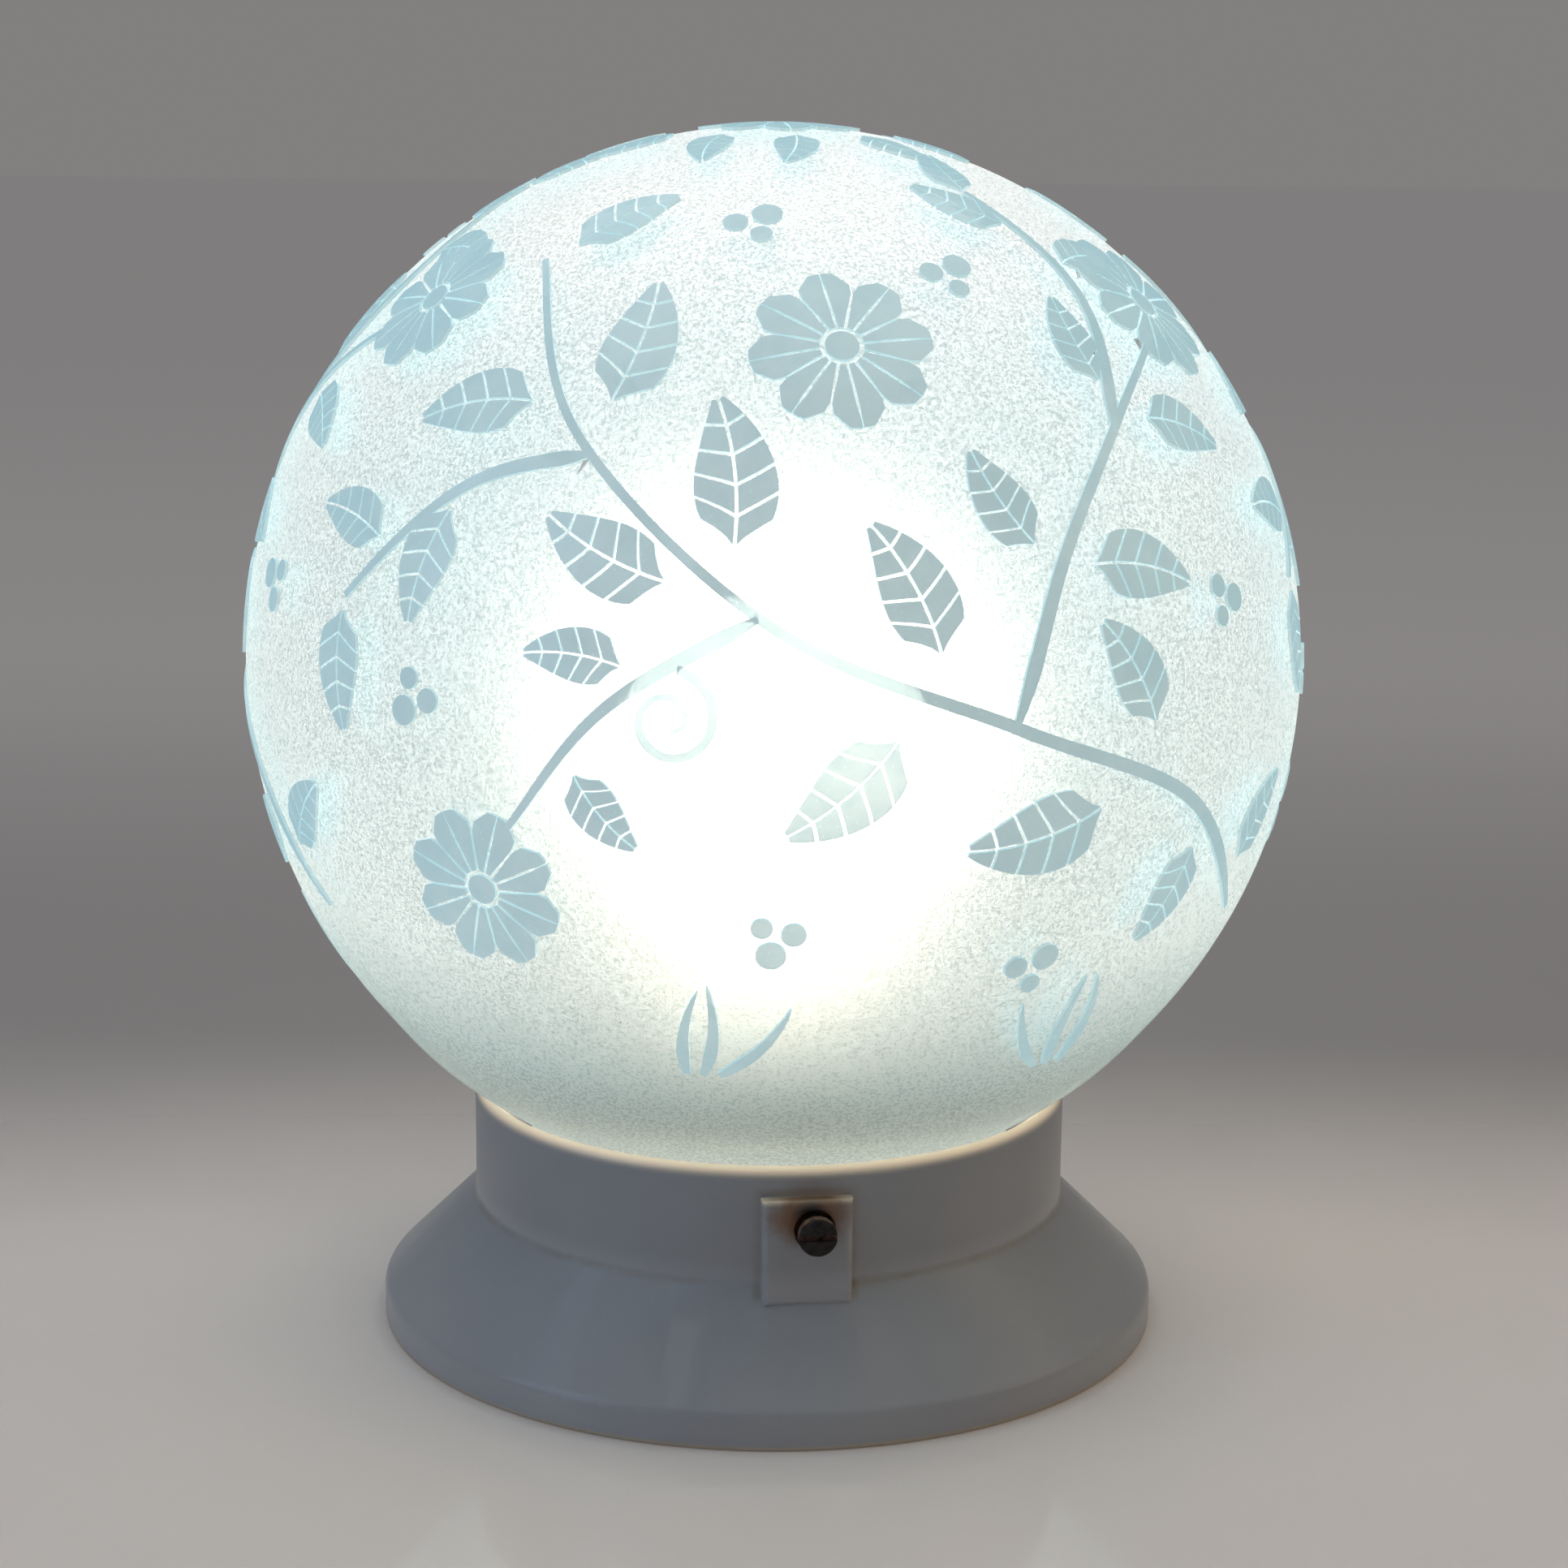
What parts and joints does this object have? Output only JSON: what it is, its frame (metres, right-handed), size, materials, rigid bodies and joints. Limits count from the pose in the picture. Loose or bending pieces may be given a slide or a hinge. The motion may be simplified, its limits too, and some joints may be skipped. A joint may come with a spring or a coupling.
{
  "type": "ceiling lamp",
  "caption": "Globe ceiling lamp: an etched frosted glass globe held by its neck in a round white porcelain base, with a screw-in bulb inside.",
  "frame": {"origin": "centre of the foot's bottom rim, in the plane of the ceiling", "axes": "+Z along the lamp's axis from the ceiling to the globe; -Y towards the first retaining screw"},
  "size_m": [0.2, 0.2, 0.2293],
  "materials": {
    "glazed_porcelain": "white satin glaze",
    "plain_porcelain": "thin glaze",
    "frosted_glass": "etched matt, with clear figures",
    "bulb_glass": "inside frosted",
    "clear_glass": "clear",
    "black_glass": "glassy black",
    "brass": "dull",
    "spring_bronze": "satin",
    "cap_metal": "satin",
    "solder": "dull",
    "rusty_steel": "rusted",
    "zinc_steel": "zinc plated",
    "fibre": "matt",
    "wire": "drawn",
    "tungsten": "glowing",
    "brown_insulation": "matt",
    "blue_insulation": "matt"
  },
  "bodies": {
    "base": {"porcelain_base": "glazed_porcelain", "thread_bushes": "brass", "lampholder_body": "plain_porcelain", "screw_shell": "brass", "centre_contact": "spring_bronze", "shell_contact": "spring_bronze", "live_terminal": "brass", "neutral_terminal": "brass", "terminal_screws": "brass", "holder_screws": "zinc_steel", "holder_nuts": "zinc_steel", "connector_block": "plain_porcelain", "connector_barrels": "brass", "connector_screws": "zinc_steel", "connector_bolt": "zinc_steel", "connector_nut": "zinc_steel", "live_lead": "brown_insulation", "neutral_lead": "blue_insulation"},
    "globe": {"glass_globe": "frosted_glass", "globe_neck": "frosted_glass", "globe_lip": "frosted_glass"},
    "retainer_1_feed": {"screw_tip_1": "fibre"},
    "retainer_1": {"retaining_screw_1": "rusty_steel"},
    "retainer_2_feed": {"screw_tip_2": "fibre"},
    "retainer_2": {"retaining_screw_2": "rusty_steel"},
    "retainer_3_feed": {"screw_tip_3": "fibre"},
    "retainer_3": {"retaining_screw_3": "rusty_steel"},
    "bulb_feed": {"bulb_contact": "solder"},
    "bulb": {"bulb_envelope": "bulb_glass", "bulb_cap": "cap_metal", "bulb_insulator": "black_glass", "bulb_stem": "clear_glass", "bulb_wires": "wire", "bulb_filament": "tungsten"}
  },
  "joints": [
    {"name": "globe_lift", "type": "slide", "parent": "base", "child": "globe", "axis": [0, 0, 1], "range_m": [0, 0.14]},
    {"name": "retainer_1_feed", "type": "slide", "parent": "base", "child": "retainer_1_feed", "axis": [0, -1, 0], "range_m": [-0.00315, 0.0035]},
    {"name": "retainer_1_turn", "type": "hinge", "parent": "retainer_1_feed", "child": "retainer_1", "pos_m": [0, 0, 0.0356], "axis": [0, -1, 0], "range_deg": [-1630, 1810]},
    {"name": "retainer_2_feed", "type": "slide", "parent": "base", "child": "retainer_2_feed", "axis": [0.866, 0.5, 0], "range_m": [-0.00315, 0.0035]},
    {"name": "retainer_2_turn", "type": "hinge", "parent": "retainer_2_feed", "child": "retainer_2", "pos_m": [0, 0, 0.0356], "axis": [0.866, 0.5, 0], "range_deg": [-1630, 1810]},
    {"name": "retainer_3_feed", "type": "slide", "parent": "base", "child": "retainer_3_feed", "axis": [-0.866, 0.5, 0], "range_m": [-0.00315, 0.0035]},
    {"name": "retainer_3_turn", "type": "hinge", "parent": "retainer_3_feed", "child": "retainer_3", "pos_m": [0, 0, 0.0356], "axis": [-0.866, 0.5, 0], "range_deg": [-1630, 1810]},
    {"name": "bulb_feed", "type": "slide", "parent": "base", "child": "bulb_feed", "axis": [0, 0, 1], "range_m": [0, 0.022]},
    {"name": "bulb_turn", "type": "hinge", "parent": "bulb_feed", "child": "bulb", "pos_m": [0, 0, 0.05], "axis": [0, 0, 1], "range_deg": [0, 2160]}
  ],
  "couplings": [
    {"joint": "retainer_1_turn", "follows": "retainer_1_feed", "rad_per_m": 8976},
    {"joint": "retainer_2_turn", "follows": "retainer_2_feed", "rad_per_m": 8976},
    {"joint": "retainer_3_turn", "follows": "retainer_3_feed", "rad_per_m": 8976},
    {"joint": "bulb_feed", "follows": "bulb_turn", "m_per_rad": 0.00057773}
  ]
}
